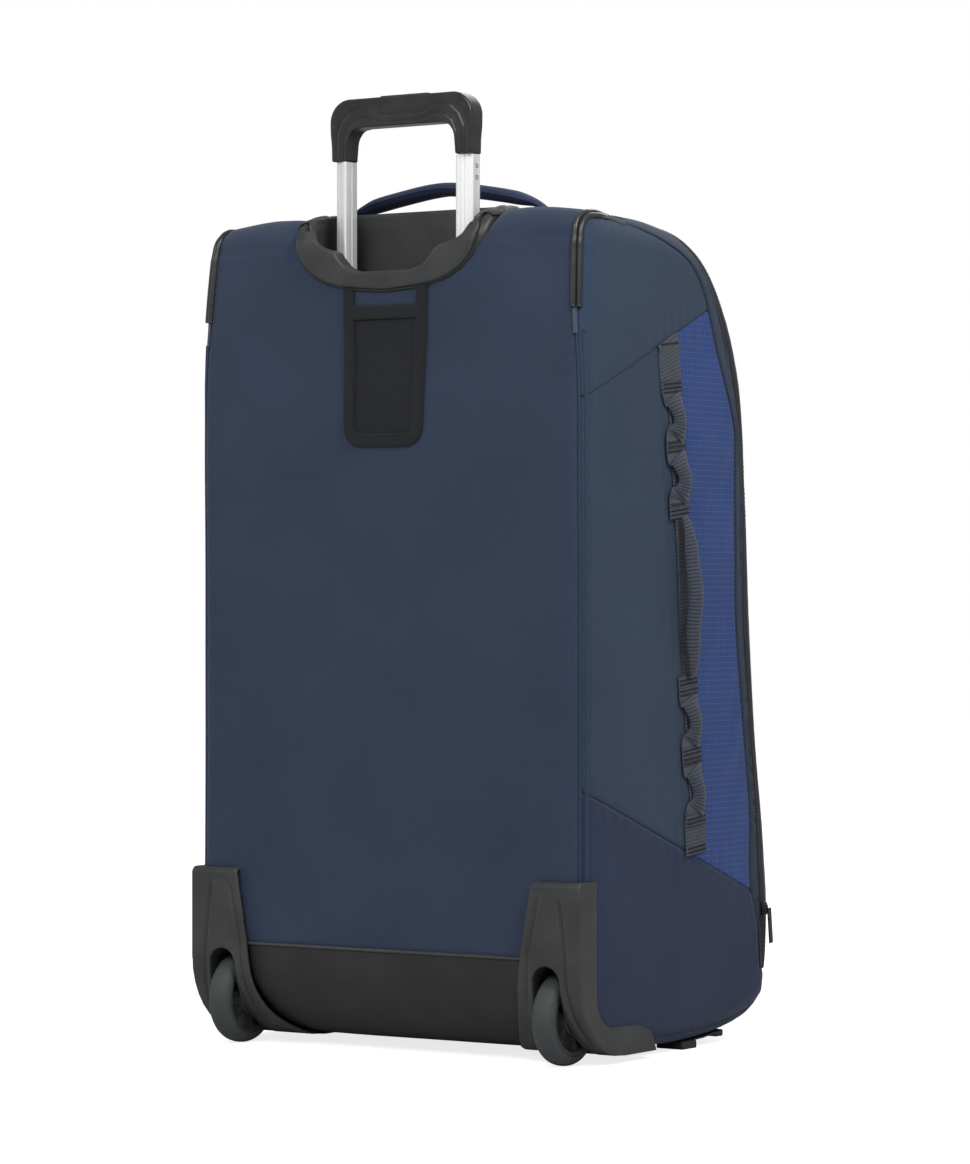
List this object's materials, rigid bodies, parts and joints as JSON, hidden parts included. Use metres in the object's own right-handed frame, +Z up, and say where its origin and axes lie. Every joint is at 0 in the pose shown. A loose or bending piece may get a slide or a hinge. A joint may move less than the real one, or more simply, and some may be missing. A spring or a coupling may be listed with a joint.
{
  "type": "rolling duffel bag",
  "caption": "Tall soft-sided wheeled duffel with telescoping pull handle, moulded wheel housings, hinged zip lid and daisy-chain side webbing.",
  "frame": {"origin": "on the floor, at the centre of the bounding box's base", "axes": "+Z up; +Y towards the back, the side with the pull handle and the wheels; +X towards the bag's left as seen from its front"},
  "size_m": [0.498, 0.3899, 0.912],
  "materials": {
    "fabric_slate": "woven polyester melange, matt",
    "fabric_blue": "ripstop nylon, slight sheen",
    "plastic_black": "fine-textured satin",
    "rubber_black": "matt",
    "tyre_black": "matt, lightly worn",
    "webbing_grey": "ribbed webbing",
    "mesh_black": "fine mesh and binding tape",
    "aluminium": "bright anodised, fine vertical lines",
    "steel": "satin",
    "zinc": "dark satin zinc",
    "board_grey": "matt sheet",
    "lining_grey": "thin plain lining"
  },
  "bodies": {
    "bag": {"back_panel": "fabric_slate", "top_panel": "fabric_slate", "bottom_panel": "fabric_slate", "side_panel_left": "fabric_slate", "side_panel_right": "fabric_slate", "kick_plate": "plastic_black", "back_board": "board_grey", "trolley_cover": "lining_grey", "inner_strap_left": "webbing_grey", "inner_strap_right": "webbing_grey", "strap_buckle": "plastic_black", "main_zip": "rubber_black", "handle_bezel": "plastic_black", "guide_tube_left": "aluminium", "guide_tube_right": "aluminium", "tube_foot_bracket": "plastic_black", "wheel_housing_left": "plastic_black", "wheel_housing_right": "plastic_black", "wheel_axle_left": "steel", "wheel_axle_right": "steel", "foot_left": "rubber_black", "foot_right": "rubber_black", "side_webbing_left": "webbing_grey", "side_webbing_right": "webbing_grey", "id_pocket": "mesh_black", "corner_piping_left": "rubber_black", "corner_piping_right": "rubber_black"},
    "lid": {"lid_panel": "fabric_slate", "lid_rim_left": "fabric_slate", "lid_rim_right": "fabric_slate", "front_pocket": "fabric_blue", "lid_mesh_pocket": "mesh_black"},
    "zip_slider_left": {"zip_slider_left": "zinc"},
    "zip_slider_right": {"zip_slider_right": "zinc"},
    "zip_pull_left": {"zip_pull_left": "zinc"},
    "zip_pull_right": {"zip_pull_right": "zinc"},
    "pocket_slider": {"pocket_slider": "zinc"},
    "pocket_pull": {"pocket_pull": "zinc"},
    "handle": {"handle_tube_left": "aluminium", "handle_tube_right": "aluminium", "grip": "plastic_black", "lock_shoe_left": "plastic_black", "lock_shoe_right": "plastic_black", "button_spring": "steel"},
    "button": {"grip_button": "plastic_black", "push_rod_left": "aluminium", "push_rod_right": "aluminium"},
    "lock_pin_left": {"lock_pin_left": "steel"},
    "lock_pin_right": {"lock_pin_right": "steel"},
    "wheel_left": {"wheel_tyre_left": "tyre_black", "wheel_hub_left": "plastic_black", "wheel_bearing_outer_left": "steel", "wheel_bearing_inner_left": "steel"},
    "wheel_right": {"wheel_tyre_right": "tyre_black", "wheel_hub_right": "plastic_black", "wheel_bearing_outer_right": "steel", "wheel_bearing_inner_right": "steel"},
    "top_handle": {"top_handle": "fabric_blue"},
    "side_handle_left": {"side_handle_left": "webbing_grey"},
    "side_handle_right": {"side_handle_right": "webbing_grey"}
  },
  "joints": [
    {"name": "handle_slide", "type": "slide", "parent": "bag", "child": "handle", "axis": [0, 0, 1], "range_m": [-0.11, 0.2]},
    {"name": "button_press", "type": "slide", "parent": "handle", "child": "button", "axis": [0, 0, -1], "range_m": [0, 0.0025], "stiffness_N_per_m": 1200, "springref_m": -0.002, "deforming": ["button_spring"]},
    {"name": "lock_pin_left_slide", "type": "slide", "parent": "handle", "child": "lock_pin_left", "axis": [-1, 0, 0], "range_m": [0, 0.0015]},
    {"name": "lock_pin_right_slide", "type": "slide", "parent": "handle", "child": "lock_pin_right", "axis": [1, 0, 0], "range_m": [0, 0.0015]},
    {"name": "wheel_left_spin", "type": "hinge", "parent": "bag", "child": "wheel_left", "pos_m": [0.186, 0.151, 0.044], "axis": [1, 0, 0], "continuous": true},
    {"name": "wheel_right_spin", "type": "hinge", "parent": "bag", "child": "wheel_right", "pos_m": [-0.186, 0.151, 0.044], "axis": [1, 0, 0], "continuous": true},
    {"name": "lid_open", "type": "hinge", "parent": "bag", "child": "lid", "pos_m": [0, -0.186, 0.062], "axis": [1, 0, 0], "range_deg": [0, 90]},
    {"name": "zip_slider_left_slide", "type": "slide", "parent": "bag", "child": "zip_slider_left", "axis": [0, 0.1159, 0.9933], "range_m": [-0.04, 0.29]},
    {"name": "zip_slider_right_slide", "type": "slide", "parent": "bag", "child": "zip_slider_right", "axis": [0, 0.1159, 0.9933], "range_m": [-0.04, 0.29]},
    {"name": "zip_pull_left_swing", "type": "hinge", "parent": "zip_slider_left", "child": "zip_pull_left", "pos_m": [0.2302, -0.15328, 0.12761], "axis": [0, -0.9933, 0.1159], "range_deg": [0, 170]},
    {"name": "zip_pull_right_swing", "type": "hinge", "parent": "zip_slider_right", "child": "zip_pull_right", "pos_m": [-0.2302, -0.15328, 0.12761], "axis": [0, 0.9933, -0.1159], "range_deg": [0, 170]},
    {"name": "pocket_slider_slide", "type": "slide", "parent": "lid", "child": "pocket_slider", "axis": [1, 0, 0], "range_m": [-0.3, 0]},
    {"name": "pocket_pull_swing", "type": "hinge", "parent": "pocket_slider", "child": "pocket_pull", "pos_m": [0.15, -0.1522, 0.6062], "axis": [-1, 0, 0], "range_deg": [0, 170]},
    {"name": "top_handle_tilt", "type": "hinge", "parent": "bag", "child": "top_handle", "pos_m": [0, 0.07, 0.802], "axis": [1, 0, 0], "range_deg": [-60, 60]},
    {"name": "side_handle_left_tilt", "type": "hinge", "parent": "bag", "child": "side_handle_left", "pos_m": [0.23, 0.00218, 0.43371], "axis": [0, 0.1019, 0.9948], "range_deg": [-60, 60]},
    {"name": "side_handle_right_tilt", "type": "hinge", "parent": "bag", "child": "side_handle_right", "pos_m": [-0.23, 0.00218, 0.43371], "axis": [0, 0.1019, 0.9948], "range_deg": [-60, 60]}
  ],
  "couplings": [
    {"joint": "lock_pin_left_slide", "follows": "button_press", "ratio": 0.6},
    {"joint": "lock_pin_right_slide", "follows": "button_press", "ratio": 0.6}
  ]
}
